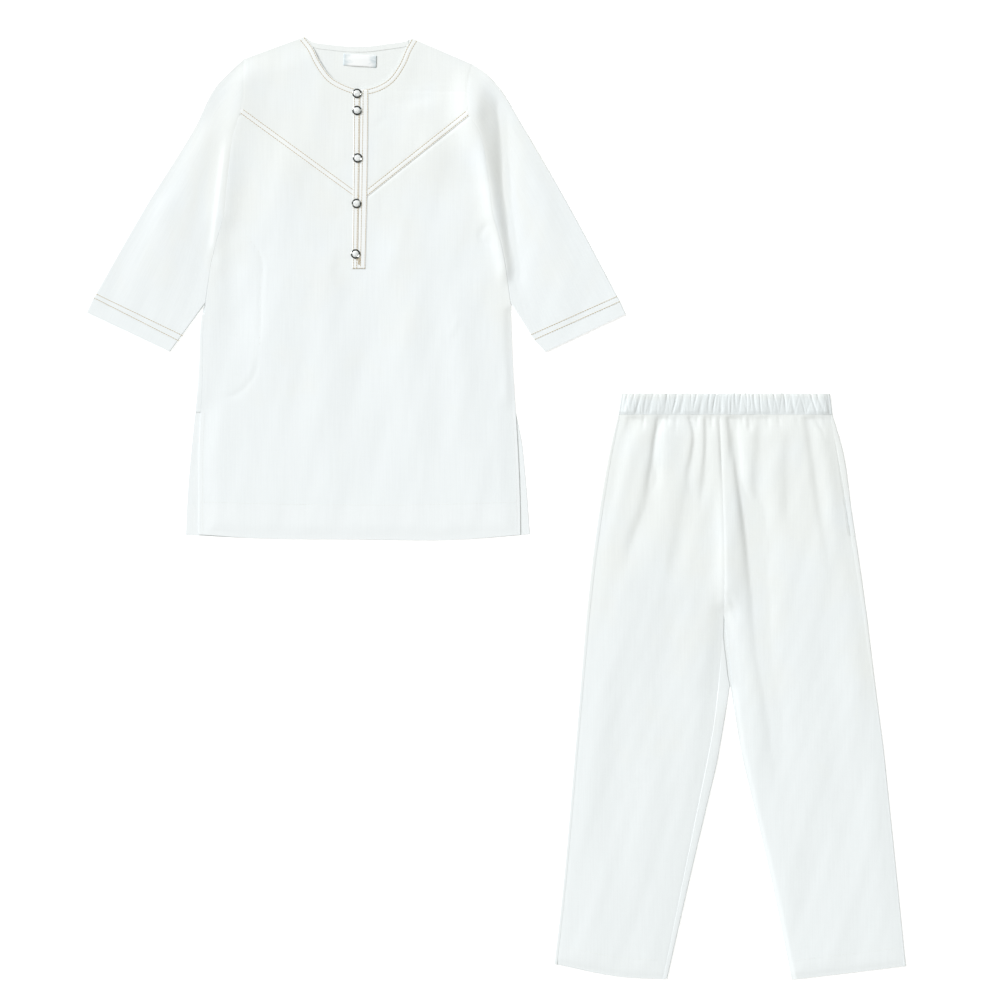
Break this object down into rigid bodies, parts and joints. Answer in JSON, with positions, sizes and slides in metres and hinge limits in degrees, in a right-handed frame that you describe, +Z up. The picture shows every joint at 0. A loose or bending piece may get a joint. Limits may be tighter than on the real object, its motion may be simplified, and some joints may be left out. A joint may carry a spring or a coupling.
{
  "type": "tunic and trousers set",
  "caption": "Child's white cotton set laid flat: a straight tunic with slanting yoke seams, a snapped neck opening and side slits, beside gathered pull-on trousers.",
  "frame": {"origin": "middle of the set's outline on the surface that it lies on", "axes": "+X to the viewer's right looking down on the set, +Y from the hems towards the tunic's neck, +Z up from the surface"},
  "size_m": [0.8199, 0.9432, 0.0059],
  "materials": {
    "tunic_cloth": "plain weave cotton, matt",
    "trouser_cloth": "plain weave cotton, matt",
    "waistband_cloth": "plain weave cotton gathered on elastic, matt",
    "label_cloth": "woven label, blank",
    "snap_metal": "dark polished ring",
    "snap_pearl": "pearly gloss"
  },
  "bodies": {
    "root": {"tunic_back": "tunic_cloth", "tunic_yoke_left": "tunic_cloth", "tunic_yoke_right": "tunic_cloth", "tunic_front": "tunic_cloth", "tunic_sleeve_left": "tunic_cloth", "tunic_sleeve_right": "tunic_cloth", "tunic_cuff_left": "tunic_cloth", "tunic_cuff_right": "tunic_cloth", "placket_left": "tunic_cloth", "placket_right": "tunic_cloth", "back_neck_facing": "tunic_cloth", "trouser_front_left": "trouser_cloth", "trouser_front_right": "trouser_cloth", "trouser_back_left": "trouser_cloth", "trouser_back_right": "trouser_cloth", "waistband": "waistband_cloth", "neck_label": "label_cloth", "snap_ring_1": "snap_metal", "snap_ring_2": "snap_metal", "snap_ring_3": "snap_metal", "snap_ring_4": "snap_metal", "snap_ring_5": "snap_metal", "snap_pearl_1": "snap_pearl", "snap_pearl_2": "snap_pearl", "snap_pearl_3": "snap_pearl", "snap_pearl_4": "snap_pearl", "snap_pearl_5": "snap_pearl"}
  },
  "joints": []
}
